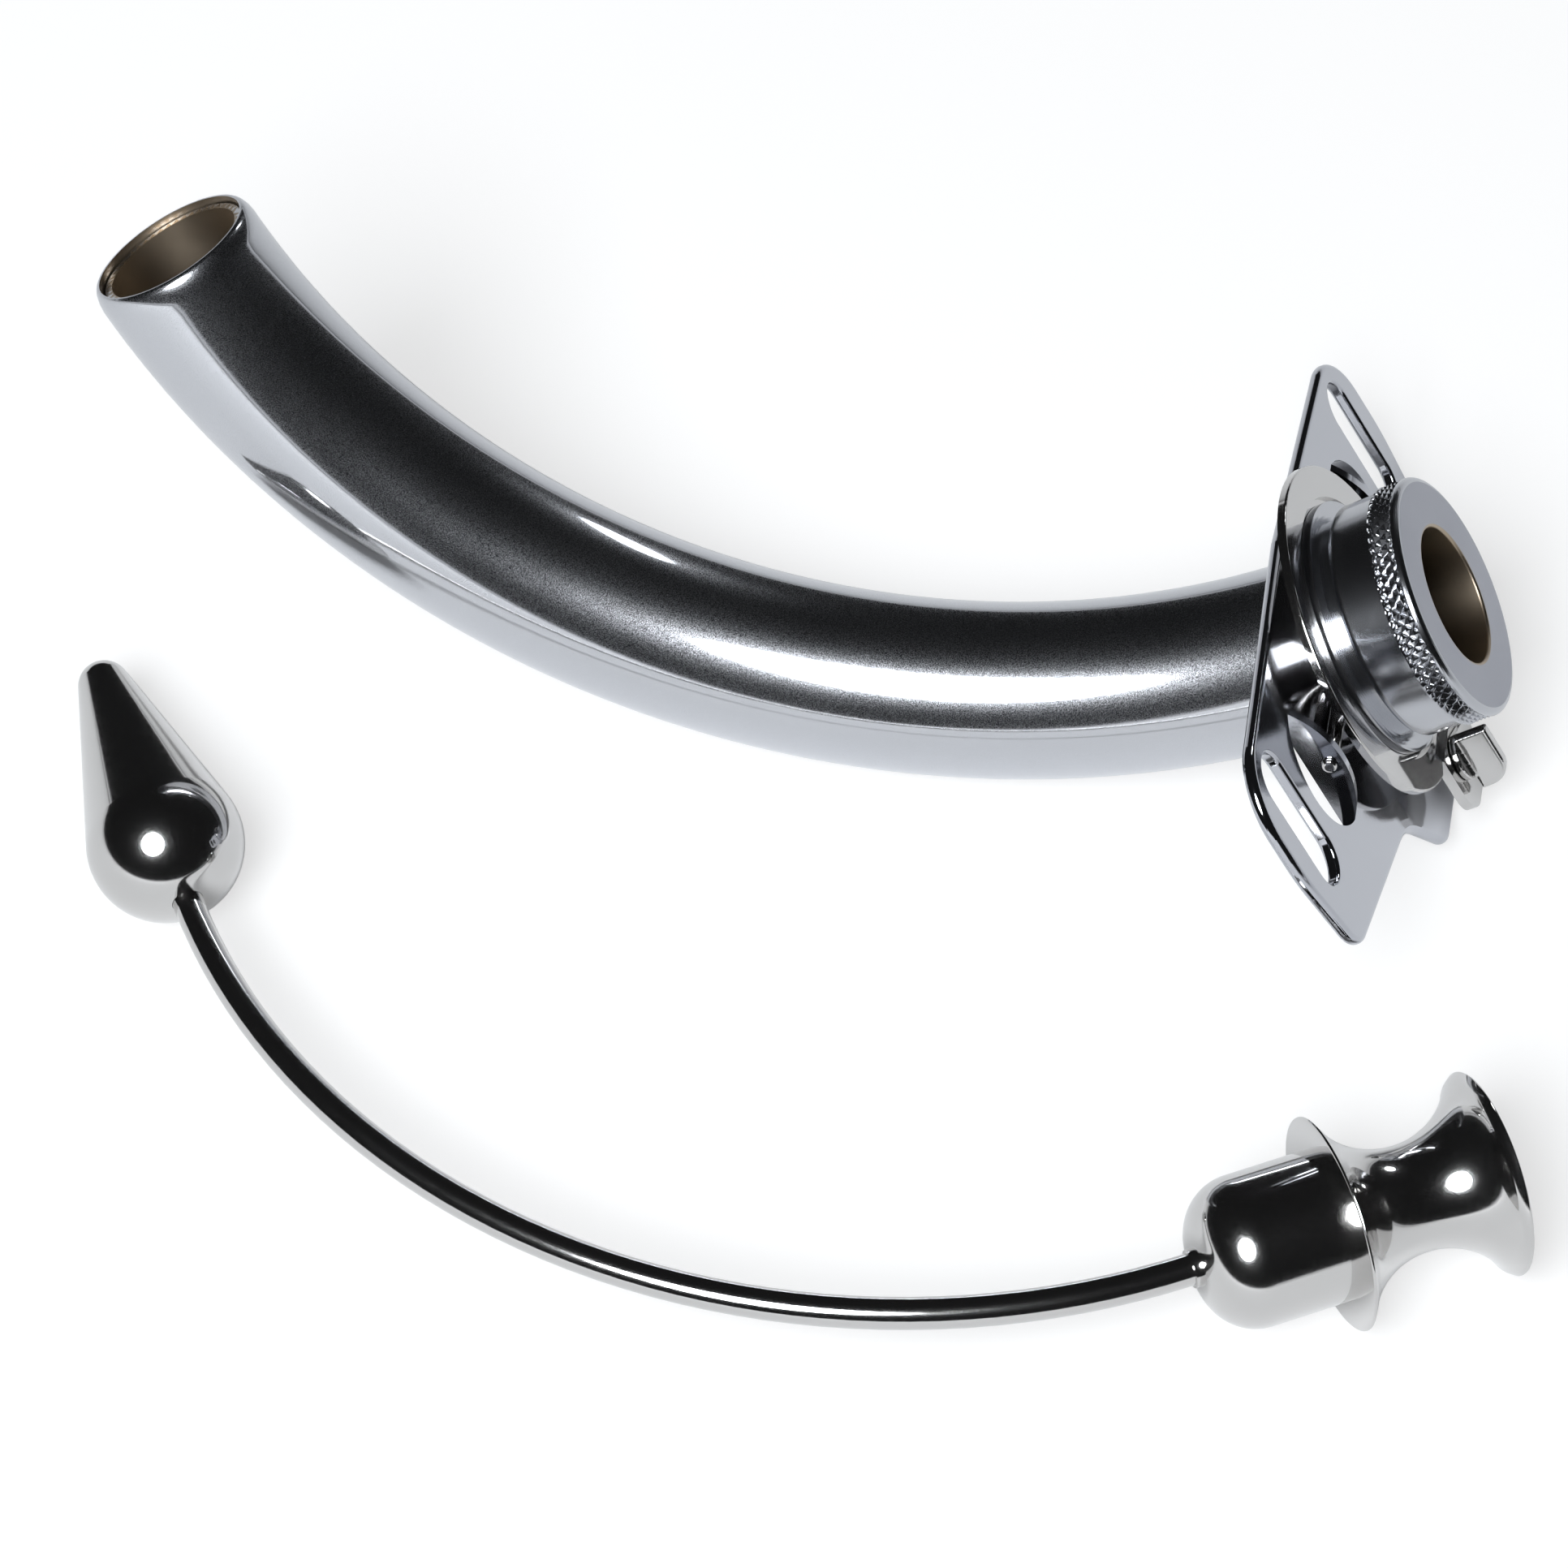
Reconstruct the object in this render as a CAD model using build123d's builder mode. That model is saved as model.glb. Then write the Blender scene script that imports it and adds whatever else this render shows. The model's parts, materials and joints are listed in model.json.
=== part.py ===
from build123d import *
import os
from math import asin, cos, degrees, radians, sin, sqrt

os.makedirs("parts", exist_ok=True)

# Tubes: two concentric bends, so that the inner one turns out of the outer one
tube_od = 12.0
outer_wall = 0.6
inner_wall = 0.5
tube_clearance = 0.15
bend_radius = 57.8
outer_bend = 92.0
inner_bend = 91.5
rim_round = 0.4

# Collar: a thin turned disc with a hub, carried by the outer tube
disc_radius = 11.5
disc_thickness = 0.6
disc_edge_round = 0.15
hub_wall = 0.8
hub_length = 3.0
hub_cone = 0.8
hub_lip = 0.25
recess_depth = 0.3
recess_clearance = 0.45

# Tongue: the raised tab on the collar that carries the latch
tongue_half_width = 2.7
tongue_reach = 15.2
tongue_root_share = 0.2
tongue_rise = 0.5
tongue_thickness = 0.7
tongue_corner = 1.9
tongue_bevel = 0.45
relief_setback = 1.0
relief_margin = 0.5

# Neck plate: flat and winged, with a window outside each upturned ear
plate_thickness = 0.9
plate_gap = 1.4
plate_low_edge = 8.7
wing_low_corner = (26.1, -7.5)
wing_end = (26.2, 0.5)
wing_high_corner = (24.7, 7.7)
wing_root = (7.8, 10.8)
plate_tongue = (3.3, 16.0)
outline_rounds = [4.6, 15.0, 2.6, 5.6, 2.2]
plate_edge_round = 0.4
hole_clearance = 0.5

# Ears, their windows and the tape slots
ear_inner_face = 13.9
ear_thickness = 0.7
ear_half_length = 4.6
ear_height = 1.55
window_depth = 3.5
slot_width = 3.8
slot_length = 10.2
slot_centre = (21.7, -1.3)
slot_edge_round = 0.25

# Trunnion pins that the neck plate swivels on
pin_radius = 0.5
pin_clearance = 0.05
pin_depth = 0.6
pin_stand_out = 0.35
pin_above_plate = 0.6
pin_end_round = 0.2

# Inner tube's head, turned in one piece
flange_radius = 8.8
flange_lift = 0.05
flange_top = 0.35
groove_radius = 7.5
groove_height = 0.8
barrel_radius = 8.1
barrel_round = 0.5
band_radius = 8.35
band_start = 4.3
face_height = 6.44
face_round = 0.45
mouth_round = 0.2
socket_depth = 1.5

# Latch, riveted through the tongue and turned aside
latch_pivot = 11.9
stem_radius = 0.7
stem_clearance = 0.05
rivet_radius = 1.1
latch_lift = 0.05
latch_base_radius = 1.65
latch_thickness = 0.45
toe_overlap = 0.65
toe_tip_radius = 0.8
thumb_thickness = 0.9
thumb_in = 1.6
thumb_out = 2.7
thumb_height = 2.3
thumb_round = 1.6
thumb_edge_round = 0.2

# Obturator: spool handle and plug turned in one, bent rod, and olive
handle_length = 11.1
front_rim_radius = 7.1
rear_rim_radius = 6.8
rim_thickness = 0.7
rim_edge_round = 0.2
waist_radius = 3.55
plug_clearance = 0.4
plug_length = 9.2
plug_nose_round = 3.6
plug_nose_flat = 0.15
ferrule_radius = 1.25
ferrule_length = 0.4
rod_radius = 1.05
rod_bend_radius = 50.6
rod_bend = 90.2
rod_seat = 4.0
rod_fit = 0.02
olive_clearance = 0.1
olive_tip_radius = 1.8
olive_spacing = 14.7

# How the two pieces of the set lie on the floor
head_place = (38.66, 10.22)
head_heading = 0.0
head_rise = 31.3
head_lean = 21.37
grip_place = (33.06, -30.78)
grip_heading = 18.6
grip_rise = -1.66
grip_lean = 93.64


def lying_plane(place, heading, rise, lean):
    """Plane at floor level whose Z climbs from the floor while its X leans over sideways."""
    turn, climb, roll = radians(heading), radians(rise), radians(lean)
    ahead = Vector(cos(turn) * cos(climb), sin(turn) * cos(climb), sin(climb))
    above = Vector(-cos(turn) * sin(climb), -sin(turn) * sin(climb), cos(climb))
    aside = ahead.cross(above)
    return Plane(origin=(*place, 0), x_dir=aside * cos(roll) + above * sin(roll), z_dir=ahead)


def lifted(plane, height):
    """The same plane with its origin this far above the floor."""
    return Plane(plane.origin + Vector(0, 0, height), x_dir=plane.x_dir, z_dir=plane.z_dir)


class Bend:
    """Circular centre line that leaves an end plane backwards and curls away from its Y."""

    def __init__(self, end_plane, radius):
        self.radius = radius
        self.flat = Plane(end_plane.origin, x_dir=end_plane.z_dir, z_dir=end_plane.x_dir)
        centre = self.flat.from_local_coords((0, radius, 0))
        self.axis = Axis(centre, end_plane.x_dir * -1)

    def cut(self, angle):
        """Plane square across the centre line, this many degrees along it."""
        along = radians(angle)
        centre = (-self.radius * sin(along), self.radius * (1 - cos(along)), 0)
        ahead = self.flat.x_dir * -cos(along) + self.flat.y_dir * sin(along)
        return Plane(self.flat.from_local_coords(centre), x_dir=self.flat.z_dir, z_dir=ahead)

    def angle_at(self, depth):
        """Degrees along the bend at a depth measured straight back from the end plane."""
        return degrees(asin(depth / self.radius))


lying_head = lying_plane(head_place, head_heading, head_rise, head_lean)
belly_depth = bend_radius * (sqrt(1 - lying_head.x_dir.Z**2) + lying_head.y_dir.Z)
head = lifted(lying_head, tube_od / 2 + belly_depth)
head_section = Plane(head.origin, x_dir=head.x_dir, z_dir=head.y_dir * -1)
head_side = Plane(head.origin, x_dir=head.y_dir, z_dir=head.x_dir)
head_axis = Axis(head.origin, head.z_dir)
head_up = Axis(head.origin, head.y_dir)
latch_axis = Axis(head.from_local_coords((0, latch_pivot, 0)), head.z_dir)
tube_bend = Bend(head, bend_radius)

lying_grip = lying_plane(grip_place, grip_heading, grip_rise, grip_lean)
grip = lifted(lying_grip, front_rim_radius * sqrt(1 - lying_grip.z_dir.Z**2))
grip_section = Plane(grip.origin, x_dir=grip.x_dir, z_dir=grip.y_dir * -1)
grip_axis = Axis(grip.origin, grip.z_dir)

outer_radius = tube_od / 2
outer_bore = outer_radius - outer_wall
inner_radius = outer_bore - tube_clearance
inner_bore = inner_radius - inner_wall

hub_radius = outer_radius + hub_wall
recess_radius = flange_radius + recess_clearance
tongue_root = recess_radius + tongue_root_share * (disc_radius - recess_radius)
relief_start = tongue_root + relief_setback
hub_end = -disc_thickness - hub_length
tongue_back = tongue_rise - tongue_thickness
rivet_height = rivet_radius - stem_radius
plate_front = -disc_thickness - plate_gap
plate_back = plate_front - plate_thickness
hole_radius = hub_radius + hole_clearance
pin_height = plate_front + pin_above_plate
ear_outer_face = ear_inner_face + ear_thickness
flange_bottom = flange_lift - recess_depth
groove_top = flange_top + groove_height
latch_bottom = tongue_rise + latch_lift
latch_top = latch_bottom + latch_thickness
toe_length = latch_pivot - flange_radius + toe_overlap

plug_radius = outer_bore - plug_clearance
plug_end = -plug_length
nose_round = min(plug_nose_round, plug_radius - ferrule_radius - plug_nose_flat)
ferrule_end = plug_end - ferrule_length
rod_start = grip.offset(ferrule_end)
rod_line = Bend(rod_start, rod_bend_radius)
olive_back = rod_line.cut(rod_bend)
olive_section = Plane(olive_back.origin, x_dir=olive_back.x_dir, z_dir=olive_back.y_dir * -1)
olive_axis = Axis(olive_back.origin, olive_back.z_dir)
olive_radius = outer_bore - olive_clearance
olive_point = olive_radius + olive_spacing
olive_slope = degrees(asin((olive_radius - olive_tip_radius) / olive_spacing))

with BuildPart() as outer_tube:
    with BuildSketch(tube_bend.cut(tube_bend.angle_at(recess_depth))):
        Circle(outer_radius)
        Circle(outer_bore, mode=Mode.SUBTRACT)
    revolve(axis=tube_bend.axis, revolution_arc=outer_bend - tube_bend.angle_at(recess_depth))
    rim = outer_tube.faces().filter_by(GeomType.PLANE).sort_by(head_axis)[0]
    fillet(rim.outer_wire().edges(), rim_round)

with BuildPart() as outer_seat:
    with BuildSketch(tube_bend.cut(-tube_bend.angle_at(socket_depth))):
        Circle(outer_radius)
    revolve(axis=tube_bend.axis, revolution_arc=tube_bend.angle_at(2 * hub_length + socket_depth))

with BuildPart() as inner_seat:
    with BuildSketch(tube_bend.cut(-tube_bend.angle_at(socket_depth))):
        Circle(inner_radius)
    revolve(axis=tube_bend.axis, revolution_arc=tube_bend.angle_at(2 * socket_depth))

with BuildPart() as collar:
    with BuildSketch(head_section) as profile:
        with BuildLine():
            Polyline(
                (0, -recess_depth),
                (recess_radius, -recess_depth),
                (recess_radius, 0),
                (disc_radius, 0),
                (disc_radius, -disc_thickness),
                (hub_radius, -disc_thickness),
                (hub_radius, hub_end),
                (outer_radius + hub_lip, hub_end - hub_cone),
                (0, hub_end - hub_cone),
                close=True,
            )
        make_face()
        fillet(profile.vertices().sort_by_distance((disc_radius, 0))[0], disc_edge_round)
    revolve(axis=head_axis)
    with BuildSketch(head.offset(tongue_back)) as tongue:
        with Locations((0, (tongue_root + tongue_reach) / 2)):
            Rectangle(2 * tongue_half_width, tongue_reach - tongue_root)
        fillet(tongue.vertices().group_by(Axis.Y)[-1], tongue_corner)
    extrude(amount=tongue_thickness)
    top = collar.faces().filter_by(GeomType.PLANE).sort_by(head_axis)[-1]
    chamfer(top.edges().sort_by(head_up)[0], tongue_bevel)
    with BuildSketch(head.offset(tongue_back)):
        with Locations((0, relief_start + disc_radius / 2)):
            Rectangle(2 * (tongue_half_width - relief_margin), disc_radius)
    extrude(amount=-disc_thickness, mode=Mode.SUBTRACT)
    add(outer_seat.part, mode=Mode.SUBTRACT)
    with BuildSketch(head_side):
        with Locations((0, pin_height)):
            Circle(pin_radius)
    extrude(amount=ear_inner_face, both=True, mode=Mode.SUBTRACT)
    with BuildSketch(head_side):
        with BuildLine():
            Polyline(
                (latch_pivot, tongue_back),
                (latch_pivot + rivet_radius + stem_clearance, tongue_back),
                (latch_pivot + stem_radius + stem_clearance, tongue_back + rivet_height),
                (latch_pivot + stem_radius + stem_clearance, tongue_rise),
                (latch_pivot, tongue_rise),
                close=True,
            )
        make_face()
    revolve(axis=latch_axis, mode=Mode.SUBTRACT)

trunnion_pins = {}
for name, side in (("near", 1), ("far", -1)):
    with BuildPart() as pin:
        with BuildSketch(head_side.offset(side * (hub_radius - pin_depth))):
            with Locations((0, pin_height)):
                Circle(pin_radius)
        extrude(amount=side * (ear_outer_face + pin_stand_out - hub_radius + pin_depth))
        free_end = pin.faces().filter_by(GeomType.PLANE).sort_by(Axis(head.origin, head.x_dir * side))[-1]
        fillet(free_end.edges(), pin_end_round)
    trunnion_pins[f"trunnion_pin_{name}"] = pin

with BuildPart() as neck_plate:
    with BuildSketch(head.offset(plate_back)):
        with BuildLine():
            FilletPolyline(
                (0, -plate_low_edge),
                wing_low_corner,
                wing_end,
                wing_high_corner,
                wing_root,
                plate_tongue,
                (0, plate_tongue[1]),
                radius=outline_rounds,
            )
            mirror(about=Plane.YZ)
        make_face()
    extrude(amount=plate_thickness)
    faces = neck_plate.faces().filter_by(GeomType.PLANE).sort_by(head_axis)
    fillet(faces[0].edges() + faces[-1].edges(), plate_edge_round)
    with BuildSketch(head.offset(plate_front)):
        with Locations(slot_centre, (-slot_centre[0], slot_centre[1])):
            SlotOverall(slot_length, slot_width, rotation=90)
    extrude(amount=-plate_thickness, mode=Mode.SUBTRACT)
    faces = neck_plate.faces().filter_by(GeomType.PLANE).sort_by(head_axis)
    slot_rims = faces[0].inner_wires() + faces[-1].inner_wires()
    fillet(slot_rims.edges(), slot_edge_round)
    with BuildSketch(head.offset(plate_front)):
        Circle(hole_radius)
        with BuildLine():
            ThreePointArc(
                (ear_outer_face, -ear_half_length),
                (ear_outer_face + window_depth, 0),
                (ear_outer_face, ear_half_length),
            )
            Line((ear_outer_face, ear_half_length), (ear_outer_face, -ear_half_length))
        make_face()
        mirror(about=Plane.YZ)
    extrude(amount=-plate_thickness, mode=Mode.SUBTRACT)
    for side in (1, -1):
        with BuildSketch(head_side.offset(side * ear_inner_face)):
            with BuildLine():
                crown = ThreePointArc(
                    (-ear_half_length, plate_front),
                    (0, plate_front + ear_height),
                    (ear_half_length, plate_front),
                )
                Polyline(
                    crown @ 1,
                    (ear_half_length, plate_front - plate_thickness / 2),
                    (-ear_half_length, plate_front - plate_thickness / 2),
                    crown @ 0,
                )
            make_face()
            with Locations((0, pin_height)):
                Circle(pin_radius + pin_clearance, mode=Mode.SUBTRACT)
        extrude(amount=side * ear_thickness)

with BuildPart() as inner_tube:
    with BuildSketch(tube_bend.cut(-tube_bend.angle_at(socket_depth))):
        Circle(inner_radius)
        Circle(inner_bore, mode=Mode.SUBTRACT)
    revolve(axis=tube_bend.axis, revolution_arc=inner_bend + tube_bend.angle_at(socket_depth))

with BuildPart() as inner_head:
    with BuildSketch(head_section) as profile:
        with BuildLine():
            Polyline(
                (inner_bore, flange_bottom),
                (flange_radius, flange_bottom),
                (flange_radius, flange_top),
                (groove_radius, flange_top),
                (groove_radius, groove_top),
                (barrel_radius, groove_top),
                (barrel_radius, band_start),
                (band_radius, band_start),
                (band_radius, face_height),
                (inner_bore, face_height),
                close=True,
            )
        make_face()
        fillet(profile.vertices().sort_by_distance((barrel_radius, groove_top))[0], barrel_round)
        fillet(profile.vertices().sort_by_distance((band_radius, face_height))[0], face_round)
        fillet(profile.vertices().sort_by_distance((inner_bore, face_height))[0], mouth_round)
    revolve(axis=head_axis)
    add(inner_seat.part, mode=Mode.SUBTRACT)

with BuildPart() as latch:
    with BuildSketch(head.offset(latch_bottom)):
        with Locations((0, latch_pivot)):
            Circle(latch_base_radius)
        with Locations((toe_tip_radius - toe_length, latch_pivot)):
            Circle(toe_tip_radius)
        make_hull()
    extrude(amount=latch_thickness)
    with BuildSketch(head_side) as thumb:
        with Locations((latch_pivot + (thumb_out - thumb_in) / 2, latch_top + thumb_height / 2)):
            Rectangle(thumb_in + thumb_out, thumb_height)
        fillet(thumb.vertices().group_by(Axis.Y)[-1].sort_by(Axis.X)[-1], thumb_round)
    extrude(amount=thumb_thickness / 2, both=True)
    thumb_faces = latch.faces().filter_by(head_side).group_by(SortBy.AREA)[-1]
    fillet(thumb_faces.edges().filter_by(GeomType.CIRCLE), thumb_edge_round)
    with BuildSketch(head_side):
        with BuildLine():
            Polyline(
                (latch_pivot, tongue_back),
                (latch_pivot + rivet_radius, tongue_back),
                (latch_pivot + stem_radius, tongue_back + rivet_height),
                (latch_pivot + stem_radius, latch_bottom),
                (latch_pivot, latch_bottom),
                close=True,
            )
        make_face()
    revolve(axis=latch_axis)

with BuildPart() as obturator_handle:
    with BuildSketch(grip_section) as profile:
        with BuildLine():
            flare = ThreePointArc(
                (rear_rim_radius, handle_length - rim_thickness),
                (waist_radius, handle_length / 2),
                (front_rim_radius, rim_thickness),
            )
            Polyline(
                flare @ 1,
                (front_rim_radius, 0),
                (plug_radius, 0),
                (plug_radius, plug_end),
                (ferrule_radius, plug_end),
                (ferrule_radius, ferrule_end),
                (0, ferrule_end),
                (0, handle_length),
                (rear_rim_radius, handle_length),
                flare @ 0,
            )
        make_face()
        fillet(profile.vertices().sort_by_distance((plug_radius, plug_end))[0], nose_round)
        rim_corners = profile.vertices().sort_by(Axis.X)[-4:]
        fillet(rim_corners, rim_edge_round)
    revolve(axis=grip_axis)
    with BuildSketch(rod_start):
        Circle(rod_radius + rod_fit)
    extrude(amount=rod_seat, mode=Mode.SUBTRACT)

with BuildPart() as obturator_rod:
    with BuildSketch(rod_start):
        Circle(rod_radius)
    extrude(amount=rod_seat - rod_fit)
    with BuildSketch(rod_start):
        Circle(rod_radius)
    revolve(axis=rod_line.axis, revolution_arc=rod_bend)
    with BuildSketch(olive_back):
        Circle(rod_radius)
    extrude(amount=rod_seat - rod_fit)

with BuildPart() as obturator_olive:
    with BuildSketch(olive_section):
        with BuildLine():
            belly = CenterArc((0, olive_radius), olive_radius, -90, 90 + olive_slope)
            nose = CenterArc((0, olive_point), olive_tip_radius, olive_slope, 90 - olive_slope)
            Line(belly @ 1, nose @ 0)
            Line(nose @ 1, belly @ 0)
        make_face()
    revolve(axis=olive_axis)
    with BuildSketch(olive_back):
        Circle(rod_radius + rod_fit)
    extrude(amount=rod_seat, mode=Mode.SUBTRACT)

parts = {
    "outer_tube": outer_tube,
    "collar": collar,
    **trunnion_pins,
    "neck_plate": neck_plate,
    "latch": latch,
    "inner_tube": inner_tube,
    "inner_head": inner_head,
    "obturator_handle": obturator_handle,
    "obturator_rod": obturator_rod,
    "obturator_olive": obturator_olive,
}
for name, piece in parts.items():
    piece.part.label = name
    export_step(piece.part, f"parts/{name}.step")
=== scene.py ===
"""Looks of a polished steel tracheostomy tube set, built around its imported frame, in metres."""

import json
import logging
import math
from dataclasses import dataclass, field
from enum import Enum, IntEnum

import bmesh
import bpy
from mathutils import Matrix, Vector


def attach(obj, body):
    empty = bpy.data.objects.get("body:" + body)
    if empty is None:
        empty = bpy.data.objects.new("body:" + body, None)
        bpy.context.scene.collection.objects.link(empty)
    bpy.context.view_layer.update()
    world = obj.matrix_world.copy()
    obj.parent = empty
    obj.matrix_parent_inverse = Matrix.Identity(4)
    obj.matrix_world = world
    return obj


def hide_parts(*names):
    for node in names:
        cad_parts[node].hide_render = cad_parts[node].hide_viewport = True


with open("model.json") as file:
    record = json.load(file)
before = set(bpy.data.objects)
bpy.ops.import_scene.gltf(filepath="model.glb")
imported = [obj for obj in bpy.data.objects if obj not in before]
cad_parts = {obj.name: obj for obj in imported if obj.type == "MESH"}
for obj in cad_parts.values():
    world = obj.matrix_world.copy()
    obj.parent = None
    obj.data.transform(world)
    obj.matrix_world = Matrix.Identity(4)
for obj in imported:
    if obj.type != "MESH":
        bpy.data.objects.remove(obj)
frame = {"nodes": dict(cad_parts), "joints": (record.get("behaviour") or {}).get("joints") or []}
LOG = logging.getLogger("tracheostomy_tube")
IMAGE_SIZE = 1932
SENSOR_MM = 36.0
CRISP_ANGLE = math.radians(32.0)
WHITE = (1.0, 1.0, 1.0, 1.0)

# Socket numbers, for nodes on which several sockets share a name.
VECTOR_RANGE_VALUE, VECTOR_RANGE_TO_MIN, VECTOR_RANGE_TO_MAX = 6, 9, 10
COLOUR_MIX_FACTOR, COLOUR_MIX_A, COLOUR_MIX_B, COLOUR_MIX_RESULT = 0, 6, 7, 2


class Grain(Enum):
    """Which way the fine marks of a finish run."""

    CLOUDED = "clouded"
    TURNED = "turned"


class TubeSlot(IntEnum):
    """Which of the nosed tube's materials a face has."""

    OUTSIDE = 0
    BORE = 1


class HeadSlot(IntEnum):
    """Which of the knurled head's materials a face has."""

    OUTSIDE = 0
    FACE = 1
    MOUTH = 2


@dataclass(frozen=True)
class SteelFinish:
    """One finish of stainless steel, as the polisher leaves it; the bore's colour is painted shade and glint
    tint.
    """

    name: str
    colour: tuple[float, float, float]
    roughness: float
    roughness_spread: float
    grain: Grain
    grain_scale: float
    grain_height: float
    scratch_roughness: float = 0.0
    scratch_level: float = 0.57
    scratch_edge: float = 0.02
    scratch_scale: float = 40000.0
    grain_detail: float = 6.0
    ring_distortion: float = 1.5
    bump_strength: float = 0.35
    cloud_scale: float = 90.0
    cloud_detail: float = 4.0
    cloud_low: float = 0.3
    cloud_high: float = 0.7
    cloud_shade: float = 0.94

    def material(self, axis_frame: Matrix) -> bpy.types.Material:
        """Makes the node material of this finish.

        Args:
            axis_frame: The frame whose Z is the axis that turned marks run around.

        Returns:
            The new material.
        """
        made = bpy.data.materials.new(self.name)
        made.use_nodes = True
        nodes, links = made.node_tree.nodes, made.node_tree.links
        shader = nodes["Principled BSDF"]
        shader.inputs["Metallic"].default_value = 1.0
        place = nodes.new("ShaderNodeTexCoord")
        turn = nodes.new("ShaderNodeMapping")
        turn.vector_type = "POINT"
        inverse = axis_frame.inverted()
        turn.inputs["Rotation"].default_value = inverse.to_euler()
        turn.inputs["Location"].default_value = inverse.to_translation()
        links.new(place.outputs["Object"], turn.inputs["Vector"])
        cloud = nodes.new("ShaderNodeTexNoise")
        cloud.inputs["Scale"].default_value = self.cloud_scale
        cloud.inputs["Detail"].default_value = self.cloud_detail
        links.new(turn.outputs["Vector"], cloud.inputs["Vector"])
        spread = nodes.new("ShaderNodeMapRange")
        spread.inputs["From Min"].default_value = self.cloud_low
        spread.inputs["From Max"].default_value = self.cloud_high
        spread.inputs["To Min"].default_value = self.roughness
        spread.inputs["To Max"].default_value = self.roughness + self.roughness_spread
        links.new(cloud.outputs["Fac"], spread.inputs["Value"])
        roughness = self._scratched(nodes, links, turn, spread.outputs["Result"])
        links.new(roughness, shader.inputs["Roughness"])
        tint = nodes.new("ShaderNodeMapRange")
        tint.data_type = "FLOAT_VECTOR"
        tint.inputs[VECTOR_RANGE_TO_MIN].default_value = tuple(c * self.cloud_shade for c in self.colour)
        tint.inputs[VECTOR_RANGE_TO_MAX].default_value = self.colour
        links.new(cloud.outputs["Fac"], tint.inputs[VECTOR_RANGE_VALUE])
        links.new(tint.outputs["Vector"], shader.inputs["Base Color"])
        bump = nodes.new("ShaderNodeBump")
        bump.inputs["Strength"].default_value = self.bump_strength
        bump.inputs["Distance"].default_value = self.grain_height
        links.new(self._marks(nodes, links, turn), bump.inputs["Height"])
        links.new(bump.outputs["Normal"], shader.inputs["Normal"])
        return made

    def _scratched(self, nodes: bpy.types.Nodes, links: bpy.types.NodeLinks, turn: bpy.types.Node,
                   polish: bpy.types.NodeSocket) -> bpy.types.NodeSocket:
        """Adds the hairline scratches that give a mirror polish its haze.

        Args:
            nodes: The material's nodes.
            links: The material's links.
            turn: The node that gives places in the axis frame.
            polish: The roughness between the scratches.

        Returns:
            The socket with the roughness of the whole surface.
        """
        hairs = nodes.new("ShaderNodeTexNoise")
        hairs.inputs["Scale"].default_value = self.scratch_scale
        hairs.inputs["Detail"].default_value = 0.0
        links.new(turn.outputs["Vector"], hairs.inputs["Vector"])
        cut = nodes.new("ShaderNodeMapRange")
        cut.inputs["From Min"].default_value = self.scratch_level
        cut.inputs["From Max"].default_value = self.scratch_level + self.scratch_edge
        cut.inputs["To Max"].default_value = self.scratch_roughness
        links.new(hairs.outputs["Fac"], cut.inputs["Value"])
        whole = nodes.new("ShaderNodeMath")
        links.new(polish, whole.inputs[0])
        links.new(cut.outputs["Result"], whole.inputs[1])
        return whole.outputs[0]

    def _marks(self, nodes: bpy.types.Nodes, links: bpy.types.NodeLinks,
               turn: bpy.types.Node) -> bpy.types.NodeSocket:
        """Adds the fine marks of the finish.

        Args:
            nodes: The material's nodes.
            links: The material's links.
            turn: The node that gives places in the axis frame.

        Returns:
            The socket with the height of the marks.
        """
        if self.grain is Grain.TURNED:
            marks = nodes.new("ShaderNodeTexWave")
            marks.wave_type = "RINGS"
            marks.rings_direction = "Z"
            marks.inputs["Distortion"].default_value = self.ring_distortion
        else:
            marks = nodes.new("ShaderNodeTexNoise")
            marks.inputs["Detail"].default_value = self.grain_detail
        marks.inputs["Scale"].default_value = self.grain_scale
        links.new(turn.outputs["Vector"], marks.inputs["Vector"])
        return marks.outputs["Fac"]


MIRROR = SteelFinish("mirror_steel", colour=(0.64, 0.63, 0.62), roughness=0.035, roughness_spread=0.03,
                     grain=Grain.CLOUDED, grain_scale=900.0, grain_height=0.000004,
                     scratch_roughness=0.16, scratch_level=0.62)
BUFFED = SteelFinish("buffed_steel", colour=(0.62, 0.63, 0.66), roughness=0.05, roughness_spread=0.03,
                     grain=Grain.CLOUDED, grain_scale=1200.0, grain_height=0.000004, scratch_roughness=0.24)
FORMED = SteelFinish("formed_plate_steel", colour=(0.54, 0.55, 0.59), roughness=0.05, roughness_spread=0.05,
                     grain=Grain.CLOUDED, grain_scale=500.0, grain_height=0.00002)
# The bore's colour, darker and browner than the outer steel, is painted shade inside the tube and a painted
# warm tint for the glint seen there.
BORE = SteelFinish("bore_steel_painted_shade_and_glint", colour=(0.46, 0.38, 0.29), roughness=0.27, roughness_spread=0.16,
                   grain=Grain.CLOUDED, grain_scale=700.0, grain_height=0.00003)
TURNED = SteelFinish("turned_steel", colour=(0.54, 0.55, 0.58), roughness=0.12, roughness_spread=0.08,
                     grain=Grain.TURNED, grain_scale=900.0, grain_height=0.00001)
FACED = SteelFinish("faced_steel", colour=(0.48, 0.49, 0.54), roughness=0.38, roughness_spread=0.08,
                    grain=Grain.TURNED, grain_scale=900.0, grain_height=0.000006)


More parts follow.
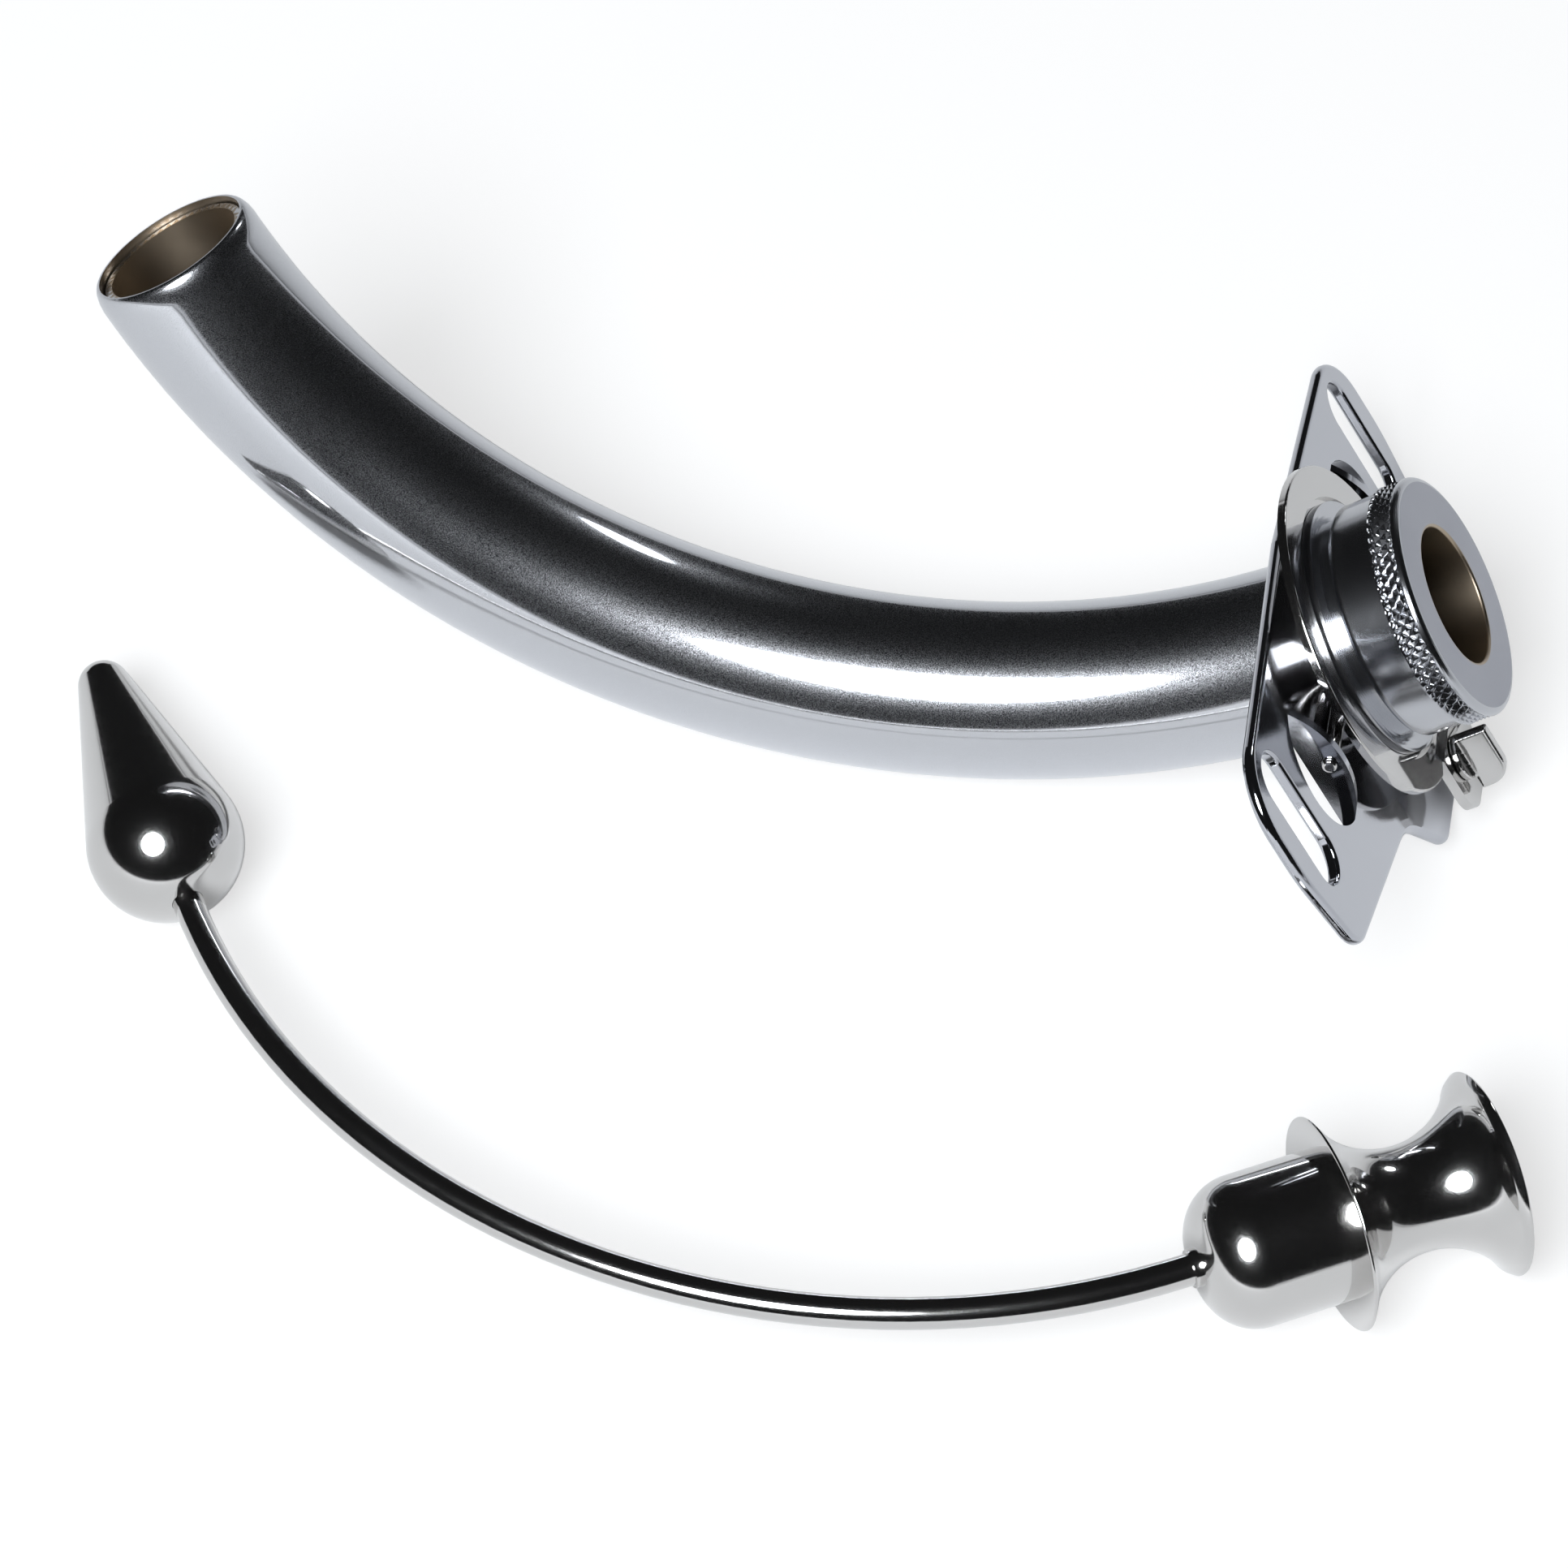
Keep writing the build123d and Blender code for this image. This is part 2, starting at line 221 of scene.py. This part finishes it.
def plain_piece(name: str, verts: list[Vector], faces: list[tuple[int, ...]], slots: list[int],
                materials: tuple[bpy.types.Material, ...]) -> bpy.types.Object:
    """Makes a piece from its corners and faces.

    Args:
        name: The piece's name.
        verts: Its corners.
        faces: The corners of each face.
        slots: Which material each face has.
        materials: Its materials.

    Returns:
        The new object.
    """
    mesh = bpy.data.meshes.new(name)
    mesh.from_pydata(verts, [], faces)
    for material in materials:
        mesh.materials.append(material)
    for polygon, slot in zip(mesh.polygons, slots):
        polygon.material_index = slot
    mesh.validate()
    mesh.update()
    made = bpy.data.objects.new(name, mesh)
    bpy.context.scene.collection.objects.link(made)
    return made


def smooth_piece(name: str, verts: list[Vector], faces: list[tuple[int, ...]], slots: list[int],
                 materials: tuple[bpy.types.Material, ...]) -> bpy.types.Object:
    """Makes a smooth piece whose edges stay crisp where it turns sharply.

    Args:
        name: The piece's name.
        verts: Its corners.
        faces: The corners of each face.
        slots: Which material each face has.
        materials: Its materials.

    Returns:
        The new object.
    """
    made = plain_piece(name, verts, faces, slots, materials)
    work = bmesh.new()
    work.from_mesh(made.data)
    bmesh.ops.recalc_face_normals(work, faces=work.faces)
    work.to_mesh(made.data)
    work.free()
    made.data.shade_smooth()
    made.data.set_sharp_from_angle(angle=CRISP_ANGLE)
    return made


def full_turn(steps: int) -> list[float]:
    """Angles evenly spaced around a whole turn, in radians."""
    return [2 * math.pi * step / steps for step in range(steps)]


def rings(sections: list[list[Vector]], closed: bool) -> tuple[list[Vector], list[tuple[int, ...]]]:
    """Joins equal rings of points into a skin.

    Args:
        sections: The rings, in order.
        closed: Whether the last ring joins the first.

    Returns:
        The corners and the faces, ring by ring.
    """
    around = len(sections[0])
    verts = [point for section in sections for point in section]
    faces = []
    for k in range(len(sections) if closed else len(sections) - 1):
        here, there = k * around, (k + 1) % len(sections) * around
        for step in range(around):
            after = (step + 1) % around
            faces.append((here + step, here + after, there + after, there + step))
    return verts, faces


def arc(centre: tuple[float, float], radius: float, start: float, end: float,
        steps: int) -> list[tuple[float, float]]:
    """Points along an arc of a section.

    Args:
        centre: The arc's centre, as radius and height.
        radius: The arc's radius.
        start: The first angle, in radians.
        end: The last angle, in radians.
        steps: How many stretches it has.

    Returns:
        Points of radius and height.
    """
    turns = [start + (end - start) * k / steps for k in range(steps + 1)]
    return [(centre[0] + radius * math.cos(a), centre[1] + radius * math.sin(a)) for a in turns]


@dataclass(frozen=True)
class Bend:
    """The circle that both tubes follow: its centre, its axis, and the radius of their centre line."""

    centre: Vector
    axis: Vector
    radius: float


@dataclass
class HeadAxes:
    """The place and axes of the tube's head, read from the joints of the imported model."""

    swivel_depth: float = 0.0014
    origin: Vector = field(init=False)
    out: Vector = field(init=False)
    side: Vector = field(init=False)
    up: Vector = field(init=False)
    bend: Bend = field(init=False)

    def __post_init__(self) -> None:
        """Works the axes and the bend out of the joints."""
        joints = {j["name"]: j for j in frame["joints"]}
        self.out = Vector(joints["latch_turn"]["axis"]).normalized()
        self.side = Vector(joints["neck_plate_swivel"]["axis"]).normalized()
        self.up = self.out.cross(self.side)
        self.origin = Vector(joints["neck_plate_swivel"]["pos_m"]) + self.swivel_depth * self.out
        withdraw = joints["inner_cannula_withdraw"]
        centre = Vector(withdraw["pos_m"])
        self.bend = Bend(centre, Vector(withdraw["axis"]).normalized(), (centre - self.origin).length)

    def matrix(self) -> Matrix:
        """Puts the head's place and axes into one matrix.

        Returns:
            From the head's own frame to the part's.
        """
        turned = Matrix((self.side, self.up, self.out)).transposed().to_4x4()
        turned.translation = self.origin
        return turned


@dataclass
class Dresser:
    """Gives finishes to the pieces that come straight from the frame."""

    def dress(self, node: str, material: bpy.types.Material) -> None:
        """Puts one material on a whole piece.

        Args:
            node: The piece's name in the frame.
            material: What it is finished in.
        """
        mesh = frame["nodes"][node].data
        mesh.materials.clear()
        mesh.materials.append(material)
        LOG.info("dressed %s in %s", node, material.name)

    def dress_bore(self, node: str, bore: bpy.types.Material, bend: Bend, wall_middle: float) -> None:
        """Gives the inside wall of a bent tube its own material.

        Args:
            node: The piece's name in the frame.
            bore: The finish of the inside, whose colour is painted shade and a painted warm glint tint.
            bend: The circle that the tube follows.
            wall_middle: From the centre line to the middle of the wall.
        """
        mesh = frame["nodes"][node].data
        mesh.materials.append(bore)
        bore_slot = len(mesh.materials) - 1
        for face in mesh.polygons:
            arm = face.center - bend.centre
            along = arm.dot(bend.axis)
            flat = (arm - along * bend.axis).length - bend.radius
            if math.hypot(along, flat) < wall_middle:
                face.material_index = bore_slot


@dataclass
class OuterCannula(Dresser):
    """Outer tube with its nosed tip, collar and pins."""

    outside: float = 0.0060
    bore: float = 0.0054
    first_angle: float = 0.2974
    last_angle: float = 92.0
    nose_length: float = 0.0015
    nose_drop: float = 0.0005
    nose_rings: int = 10
    straight_rings: int = 120
    steps_around: int = 96

    def sections(self, bend_radius: float) -> list[tuple[float, float]]:
        """The tube's skin as rings, out along the outside and back along the bore.

        Args:
            bend_radius: From the bend's axis to the tube's centre line.

        Returns:
            Each ring's angle along the bend, in radians, and its radius.
        """
        first, last = math.radians(self.first_angle), math.radians(self.last_angle)
        nose = last - self.nose_length / bend_radius
        count = self.straight_rings
        skin = [(first + (nose - first) * k / count, self.outside) for k in range(count)]
        for k in range(self.nose_rings + 1):
            share = math.sin(math.pi / 2 * k / self.nose_rings)
            drop = self.nose_drop * (1 - math.sqrt(max(0.0, 1 - share**2)))
            skin.append((nose + (last - nose) * share, self.outside - drop))
        skin += [(last + (first - last) * k / count, self.bore) for k in range(count + 1)]
        return skin

    def tube_mesh(self, axes: HeadAxes, outside: bpy.types.Material,
                  inside: bpy.types.Material) -> bpy.types.Object:
        """Builds the bent tube with its tip rounded in.

        Args:
            axes: The head's place and axes.
            outside: The finish of the outside.
            inside: The finish of the bore, whose colour is painted shade and a painted warm glint tint.

        Returns:
            The new object.
        """
        bend = axes.bend
        sections, ring_slots = [], []
        for angle, radius in self.sections(bend.radius):
            arm = math.cos(angle) * axes.up - math.sin(angle) * axes.out
            middle = bend.centre + bend.radius * arm
            sections.append([middle + radius * (math.cos(a) * arm + math.sin(a) * axes.side)
                             for a in full_turn(self.steps_around)])
            ring_slots.append(TubeSlot.BORE if radius == self.bore else TubeSlot.OUTSIDE)
        verts, faces = rings(sections, True)
        slots = [ring_slots[k // self.steps_around] for k in range(len(faces))]
        return smooth_piece("outer_tube_nosed", verts, faces, slots, (outside, inside))

    def build(self, axes: HeadAxes, mirror: bpy.types.Material, buffed: bpy.types.Material,
              bore: bpy.types.Material) -> None:
        """Finishes the pieces and puts the nosed tube in place of the plain one.

        Args:
            axes: The head's place and axes.
            mirror: The polish of the collar and its pins.
            buffed: The softer polish of the tube.
            bore: The finish of the inside, whose colour is painted shade and a painted warm glint tint.
        """
        for node in ("collar", "trunnion_pin_near", "trunnion_pin_far"):
            self.dress(node, mirror)
        tube = self.tube_mesh(axes, buffed, bore)
        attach(tube, "outer_cannula")
        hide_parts("outer_tube")
        LOG.info("built %s with %d faces", tube.name, len(tube.data.polygons))


@dataclass
class InnerCannula(Dresser):
    """Inner tube and its turned head with a knurled band."""

    bore_radius: float = 0.00475
    flange_radius: float = 0.0088
    flange_bottom: float = -0.00025
    flange_top: float = 0.00035
    groove_radius: float = 0.0075
    groove_top: float = 0.00115
    barrel_radius: float = 0.0081
    barrel_round: float = 0.0005
    band_radius: float = 0.00835
    band_start: float = 0.0043
    face_height: float = 0.00644
    face_round: float = 0.00045
    mouth_round: float = 0.0002
    seat_radius: float = 0.00525
    seat_top: float = 0.0015
    knurl_height: float = 0.00026
    knurls_around: int = 64
    knurls_along: float = 2.0
    knurl_fade: float = 8.0
    steps_around: int = 896
    band_rows: int = 30
    corner_steps: int = 6
    wall_middle: float = 0.0050

    def profile(self) -> list[tuple[float, float, bool]]:
        """The head's section, from the mouth round the outside back to the mouth.

        Returns:
            Points of radius, height and whether the knurl is cut there.
        """
        points = [(self.bore_radius, self.seat_top, False)]
        points += self._round(self.bore_radius + self.mouth_round, self.face_height - self.mouth_round,
                              self.mouth_round, 180.0, 90.0)
        points += self._round(self.band_radius - self.face_round, self.face_height - self.face_round,
                              self.face_round, 90.0, 0.0)
        top = self.face_height - self.face_round
        for row in range(1, self.band_rows):
            height = top + (self.band_start - top) * row / self.band_rows
            points.append((self.band_radius, height, True))
        points.append((self.band_radius, self.band_start, False))
        points.append((self.barrel_radius, self.band_start, False))
        points += self._round(self.barrel_radius - self.barrel_round, self.groove_top + self.barrel_round,
                              self.barrel_round, 0.0, -90.0)
        points += [
            (self.groove_radius, self.groove_top, False),
            (self.groove_radius, self.flange_top, False),
            (self.flange_radius, self.flange_top, False),
            (self.flange_radius, self.flange_bottom, False),
            (self.seat_radius, self.flange_bottom, False),
            (self.seat_radius, self.seat_top, False),
        ]
        return points

    def _round(self, x: float, y: float, radius: float, start: float,
               end: float) -> list[tuple[float, float, bool]]:
        """Points along one rounded corner.

        Args:
            x: The corner's centre, from the axis.
            y: The corner's centre, along the axis.
            radius: The corner's radius.
            start: The first angle, in degrees.
            end: The last angle, in degrees.

        Returns:
            Points of radius and height, with no knurl.
        """
        corner = arc((x, y), radius, math.radians(start), math.radians(end), self.corner_steps)
        return [(out, height, False) for out, height in corner]

    def knurl_depth(self, angle: float, height: float) -> float:
        """How far the diamond knurl stands back at a point of the band.

        Args:
            angle: Angle around the head, in radians.
            height: Height along the head's axis.

        Returns:
            The depth below the band's own radius.
        """
        along = (height - self.band_start) / (self.face_height - self.face_round - self.band_start)
        around = angle * self.knurls_around / (2 * math.pi)
        first = abs(2 * ((around + self.knurls_along * along) % 1.0) - 1)
        second = abs(2 * ((around - self.knurls_along * along) % 1.0) - 1)
        fade = min(1.0, self.knurl_fade * along, self.knurl_fade * (1 - along))
        return self.knurl_height * (1 - min(first, second)) * max(0.0, fade)

    def head_mesh(self, place: Matrix, turned: bpy.types.Material, face: bpy.types.Material,
                  bore: bpy.types.Material) -> bpy.types.Object:
        """Builds the turned head with its knurled band.

        Args:
            place: From the head's own frame to the part's.
            turned: The finish of the outside.
            face: The finish of the flat end face.
            bore: The finish of the mouth, whose colour is painted shade and a painted warm glint tint.

        Returns:
            The new object.
        """
        points = self.profile()
        sections = []
        for angle in full_turn(self.steps_around):
            section = []
            for radius, height, cut in points:
                reach = radius - self.knurl_depth(angle, height) if cut else radius
                section.append(place @ Vector((reach * math.cos(angle), reach * math.sin(angle), height)))
            sections.append(section)
        verts = [point for section in sections for point in section]
        rows = len(points)
        faces, slots = [], []
        for step in range(self.steps_around):
            here, there = step * rows, (step + 1) % self.steps_around * rows
            for row in range(rows):
                after = (row + 1) % rows
                faces.append((here + row, there + row, there + after, here + after))
                slots.append(self._slot(points[row], points[after]))
        return plain_piece("inner_head_knurled", verts, faces, slots, (turned, face, bore))

    def _slot(self, start: tuple[float, float, bool], end: tuple[float, float, bool]) -> HeadSlot:
        """Tells which finish a stretch of the section has.

        Args:
            start: Where the stretch starts: radius, height and whether the knurl is cut there.
            end: Where it ends.

        Returns:
            The material slot of the stretch.
        """
        radius, height, knurled = start
        end_radius, end_height, _ = end
        if height == end_height and height > self.band_start and not knurled:
            return HeadSlot.FACE
        if max(radius, end_radius) <= self.bore_radius + self.mouth_round and height >= self.seat_top:
            return HeadSlot.MOUTH
        return HeadSlot.OUTSIDE

    def build(self, axes: HeadAxes, turned: bpy.types.Material, face: bpy.types.Material,
              bore: bpy.types.Material) -> None:
        """Finishes the tube and puts the knurled head in place of the plain one.

        Args:
            axes: The head's place and axes.
            turned: The finish of the outside.
            face: The finish of the flat end face.
            bore: The finish of the inside, whose colour is painted shade and a painted warm glint tint.
        """
        self.dress("inner_tube", turned)
        self.dress_bore("inner_tube", bore, axes.bend, self.wall_middle)
        head = self.head_mesh(axes.matrix(), turned, face, bore)
        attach(head, "inner_cannula")
        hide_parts("inner_head")
        LOG.info("built %s with %d faces", head.name, len(head.data.polygons))


@dataclass
class PlateAndLatch(Dresser):
    """The neck plate and its latch, whose edges the polishing wheel has rounded."""

    latch_grain: float = 0.00006
    latch_wear: float = 0.5
    latch_passes: int = 9

    def worn_latch(self, polish: bpy.types.Material) -> bpy.types.Object:
        """Rounds a copy of the latch as polishing does.

        Args:
            polish: Its finish.

        Returns:
            The new object.
        """
        made = bpy.data.objects.new("latch_worn", frame["nodes"]["latch"].data.copy())
        bpy.context.scene.collection.objects.link(made)
        even = made.modifiers.new("even", "REMESH")
        even.mode = "VOXEL"
        even.voxel_size = self.latch_grain
        worn = made.modifiers.new("worn", "SMOOTH")
        worn.factor = self.latch_wear
        worn.iterations = self.latch_passes
        ready = made.evaluated_get(bpy.context.evaluated_depsgraph_get())
        mesh = bpy.data.meshes.new_from_object(ready)
        made.modifiers.clear()
        made.data = mesh
        mesh.materials.clear()
        mesh.materials.append(polish)
        mesh.shade_smooth()
        return made

    def build(self, formed: bpy.types.Material, polish: bpy.types.Material) -> None:
        """Finishes the plate and puts the rounded latch in place of the plain one.

        Args:
            formed: The plate's finish.
            polish: The latch's finish.
        """
        self.dress("neck_plate", formed)
        latch = self.worn_latch(polish)
        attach(latch, "latch_body")
        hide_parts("latch")
        LOG.info("built %s with %d faces", latch.name, len(latch.data.polygons))


@dataclass
class Obturator(Dresser):
    """Handle with its thin flared rims, rod and olive of the obturator."""

    place: tuple[float, float] = (0.03306, -0.03078)
    heading: float = 18.6
    rise: float = -1.66
    length: float = 0.0111
    front_rim: float = 0.0071
    rear_rim: float = 0.0068
    waist: float = 0.00355
    rim_edge: float = 0.00016
    plug: float = 0.0050
    plug_end: float = -0.0092
    nose_round: float = 0.0036
    ferrule: float = 0.00125
    ferrule_end: float = -0.0096
    flare_steps: int = 40
    rim_steps: int = 4
    nose_steps: int = 24
    steps_around: int = 144

    def grip(self) -> Matrix:
        """Places the handle, which lies on its front rim.

        Returns:
            From the handle's own frame, whose Z is its axis, to the part's.
        """
        turn, climb = math.radians(self.heading), math.radians(self.rise)
        ahead = Vector((math.cos(turn) * math.cos(climb), math.sin(turn) * math.cos(climb), math.sin(climb)))
        aside = Vector((math.sin(turn), -math.cos(turn), 0.0))
        placed = Matrix((aside, ahead.cross(aside), ahead)).transposed().to_4x4()
        height = self.front_rim * math.sqrt(1 - ahead.z**2)
        placed.translation = Vector((*self.place, height))
        return placed

    def flare(self) -> list[tuple[float, float]]:
        """The waisted stretch between the rims, up to where each rim's edge begins.

        Returns:
            Points of radius and height, from the rear rim to the front one.
        """
        half_way = self.length / 2
        rear, front = self.length - 2 * self.rim_edge, 2 * self.rim_edge
        bulge = half_way - 2 * self.rim_edge
        sag = (self.rear_rim + self.front_rim) / 2 - self.waist
        radius = (bulge**2 + sag**2) / (2 * sag)
        across = self.waist + radius
        upper = math.atan2(rear - half_way, self.rear_rim - across)
        lower = math.atan2(front - half_way, self.front_rim - across) + 2 * math.pi
        reach = min(self.rear_rim, self.front_rim) - self.rim_edge / 2
        curve = arc((across, half_way), radius, upper, lower, self.flare_steps)
        return [point for point in curve if point[0] < reach]

    def profile(self) -> list[tuple[float, float]]:
        """The handle's section from the middle of the rear face to the rod.

        Returns:
            Points of radius and height.
        """
        edge = self.rim_edge
        points = [(0.0, self.length), (self.rear_rim - edge, self.length)]
        points += arc((self.rear_rim - edge, self.length - edge), edge, math.pi / 2, 0.0, self.rim_steps)
        points += self.flare()
        points += arc((self.front_rim - edge, edge), edge, 0.0, -math.pi / 2, self.rim_steps)
        points.append((self.plug, 0.0))
        points += arc((self.plug - self.nose_round, self.plug_end + self.nose_round), self.nose_round,
                      0.0, -math.pi / 2, self.nose_steps)
        points += [(self.ferrule, self.plug_end), (self.ferrule, self.ferrule_end), (0.0, self.ferrule_end)]
        return points

    def handle_mesh(self, mirror: bpy.types.Material) -> bpy.types.Object:
        """Turns the handle from its section.

        Args:
            mirror: Its polish.

        Returns:
            The new object.
        """
        placed = self.grip()
        around = self.steps_around
        sections = [[placed @ Vector((radius * math.cos(a), radius * math.sin(a), height))
                     for a in full_turn(around)] for radius, height in self.profile()]
        verts, faces = rings(sections[1:-1], False)
        last = len(verts) - around
        for middle, first in ((sections[0][0], 0), (sections[-1][0], last)):
            verts.append(middle)
            pole = len(verts) - 1
            faces += [(pole, first + step, first + (step + 1) % around) for step in range(around)]
        return smooth_piece("obturator_handle_turned", verts, faces, [0] * len(faces), (mirror,))

    def build(self, mirror: bpy.types.Material) -> None:
        """Finishes the three in one polish, with the turned handle in place of the plain one.

        Args:
            mirror: Their polish.
        """
        for node in ("obturator_rod", "obturator_olive"):
            self.dress(node, mirror)
        handle = self.handle_mesh(mirror)
        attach(handle, "outer_cannula")
        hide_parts("obturator_handle")
        LOG.info("built %s with %d faces", handle.name, len(handle.data.polygons))


@dataclass(frozen=True)
class Lamp:
    """One soft lamp that looks at the set: where it hangs, its width and height, and its watts."""

    name: str
    place: tuple[float, float, float]
    size: tuple[float, float]
    power: float
    colour: tuple[float, float, float] = (0.94, 0.97, 1.0)

    def hang(self) -> None:
        """Adds the lamp to the scene."""
        data = bpy.data.lights.new(self.name, "AREA")
        data.shape = "ELLIPSE"
        data.size, data.size_y = self.size
        data.energy = self.power
        data.color = self.colour
        made = bpy.data.objects.new(self.name, data)
        made.location = self.place
        made.rotation_mode = "QUATERNION"
        made.rotation_quaternion = (-Vector(self.place)).to_track_quat("-Z", "Y")
        bpy.context.scene.collection.objects.link(made)


KEY = Lamp("key", place=(-0.21, -0.43, 0.64), size=(0.46, 0.46), power=8.0)
REAR = Lamp("rear", place=(0.42, 0.69, 0.40), size=(0.10, 0.22), power=0.5)


@dataclass
class Studio:
    """Floor, lamps, room and camera."""

    focal_px: float = 7444.4
    clip_near: float = 0.01
    clip_far: float = 20.0
    camera_from_head: tuple[float, float, float] = (-0.03955, -0.23636, 0.32278)
    camera_right: tuple[float, float, float] = (0.9993, -0.0308, -0.0202)
    camera_down: tuple[float, float, float] = (-0.0368, -0.8192, -0.5723)
    floor_size: float = 3.0
    floor_drop: float = 0.00002
    floor_roughness: float = 0.9
    floor_colour: float = 0.85
    floor_colour_seen: float = 0.40
    floor_seen: float = 0.66
    floor_mirrored: float = 0.04
    room_colour: tuple[float, float, float, float] = (0.94, 0.96, 1.0, 1.0)
    horizon_glow: float = 0.70
    ceiling_glow: float = 0.012
    horizon_height: float = 0.0
    ceiling_height: float = 0.04

    def camera(self, head: Vector) -> None:
        """Sets the camera at the photograph's angle.

        Args:
            head: The centre of the tube's head.
        """
        right = Vector(self.camera_right).normalized()
        up = -Vector(self.camera_down)
        up = (up - up.dot(right) * right).normalized()
        back = right.cross(up)
        data = bpy.data.cameras.new("camera")
        data.sensor_width = SENSOR_MM
        data.lens = SENSOR_MM * self.focal_px / IMAGE_SIZE
        data.clip_start, data.clip_end = self.clip_near, self.clip_far
        made = bpy.data.objects.new("camera", data)
        place = Matrix((right, up, back)).transposed().to_4x4()
        place.translation = head + Vector(self.camera_from_head)
        made.matrix_world = place
        bpy.context.scene.collection.objects.link(made)
        bpy.context.scene.camera = made

    def floor_finish(self) -> bpy.types.Material:
        """Makes the floor's finish.

        The camera sees it as white with its shadows. The steel mirrors it as the lamps light it, with a
        little glow.

        Returns:
            The new material.
        """
        finish = bpy.data.materials.new("pale_floor")
        finish.use_nodes = True
        nodes, links = finish.node_tree.nodes, finish.node_tree.links
        shader = nodes["Principled BSDF"]
        shader.inputs["Roughness"].default_value = self.floor_roughness
        shader.inputs["Specular IOR Level"].default_value = 0.0
        shader.inputs["Emission Color"].default_value = WHITE
        rays = nodes.new("ShaderNodeLightPath")
        paint = nodes.new("ShaderNodeMix")
        paint.data_type = "RGBA"
        paint.inputs[COLOUR_MIX_A].default_value = (self.floor_colour,) * 3 + (1.0,)
        paint.inputs[COLOUR_MIX_B].default_value = (self.floor_colour_seen,) * 3 + (1.0,)
        links.new(rays.outputs["Is Camera Ray"], paint.inputs[COLOUR_MIX_FACTOR])
        links.new(paint.outputs[COLOUR_MIX_RESULT], shader.inputs["Base Color"])
        mirrored = nodes.new("ShaderNodeMath")
        mirrored.operation = "MAXIMUM"
        links.new(rays.outputs["Is Glossy Ray"], mirrored.inputs[0])
        links.new(rays.outputs["Is Transmission Ray"], mirrored.inputs[1])
        dimmed = nodes.new("ShaderNodeMath")
        dimmed.operation = "MULTIPLY"
        dimmed.inputs[1].default_value = self.floor_mirrored
        links.new(mirrored.outputs[0], dimmed.inputs[0])
        glow = nodes.new("ShaderNodeMath")
        glow.operation = "MULTIPLY_ADD"
        glow.inputs[1].default_value = self.floor_seen
        links.new(rays.outputs["Is Camera Ray"], glow.inputs[0])
        links.new(dimmed.outputs[0], glow.inputs[2])
        links.new(glow.outputs[0], shader.inputs["Emission Strength"])
        return finish

    def floor(self) -> None:
        """Lays the pale floor."""
        half = self.floor_size / 2
        mesh = bpy.data.meshes.new("floor")
        corners = [(-half, -half), (half, -half), (half, half), (-half, half)]
        mesh.from_pydata([(x, y, -self.floor_drop) for x, y in corners], [], [(0, 1, 2, 3)])
        mesh.materials.append(self.floor_finish())
        made = bpy.data.objects.new("floor", mesh)
        bpy.context.scene.collection.objects.link(made)

    def room(self) -> None:
        """Sets the room, white to the camera, and to the steel pale at the horizon and dark above."""
        world = bpy.data.worlds.new("room")
        world.use_nodes = True
        nodes, links = world.node_tree.nodes, world.node_tree.links
        glow = nodes["Background"]
        glow.inputs["Color"].default_value = self.room_colour
        around = nodes.new("ShaderNodeTexCoord")
        parts = nodes.new("ShaderNodeSeparateXYZ")
        links.new(around.outputs["Generated"], parts.inputs[0])
        climb = nodes.new("ShaderNodeMapRange")
        climb.interpolation_type = "SMOOTHSTEP"
        climb.inputs["From Min"].default_value = self.horizon_height
        climb.inputs["From Max"].default_value = self.ceiling_height
        climb.inputs["To Min"].default_value = self.horizon_glow
        climb.inputs["To Max"].default_value = self.ceiling_glow
        links.new(parts.outputs["Z"], climb.inputs["Value"])
        links.new(climb.outputs["Result"], glow.inputs["Strength"])
        white = nodes.new("ShaderNodeBackground")
        white.inputs["Strength"].default_value = 1.0
        white.inputs["Color"].default_value = WHITE
        rays = nodes.new("ShaderNodeLightPath")
        either = nodes.new("ShaderNodeMixShader")
        links.new(rays.outputs["Is Camera Ray"], either.inputs[0])
        links.new(glow.outputs[0], either.inputs[1])
        links.new(white.outputs[0], either.inputs[2])
        links.new(either.outputs[0], nodes["World Output"].inputs["Surface"])
        bpy.context.scene.world = world

    def build(self, head: Vector) -> None:
        """Sets up the floor, the lamps, the room and the camera.

        Args:
            head: The centre of the tube's head.
        """
        self.floor()
        for lamp in (KEY, REAR):
            lamp.hang()
        self.room()
        self.camera(head)


def main() -> None:
    """Dresses the set and lights it."""
    logging.basicConfig(level=logging.INFO)
    bpy.context.scene.view_settings.view_transform = "Standard"
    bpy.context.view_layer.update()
    axes = HeadAxes()
    finishes = (MIRROR, BUFFED, FORMED, BORE, TURNED, FACED)
    mirror, buffed, formed, bore, turned, faced = (finish.material(axes.matrix()) for finish in finishes)
    OuterCannula().build(axes, mirror, buffed, bore)
    InnerCannula().build(axes, turned, faced, bore)
    PlateAndLatch().build(formed, mirror)
    Obturator().build(mirror)
    Studio().build(axes.origin)


if __name__ == "__main__":
    main()
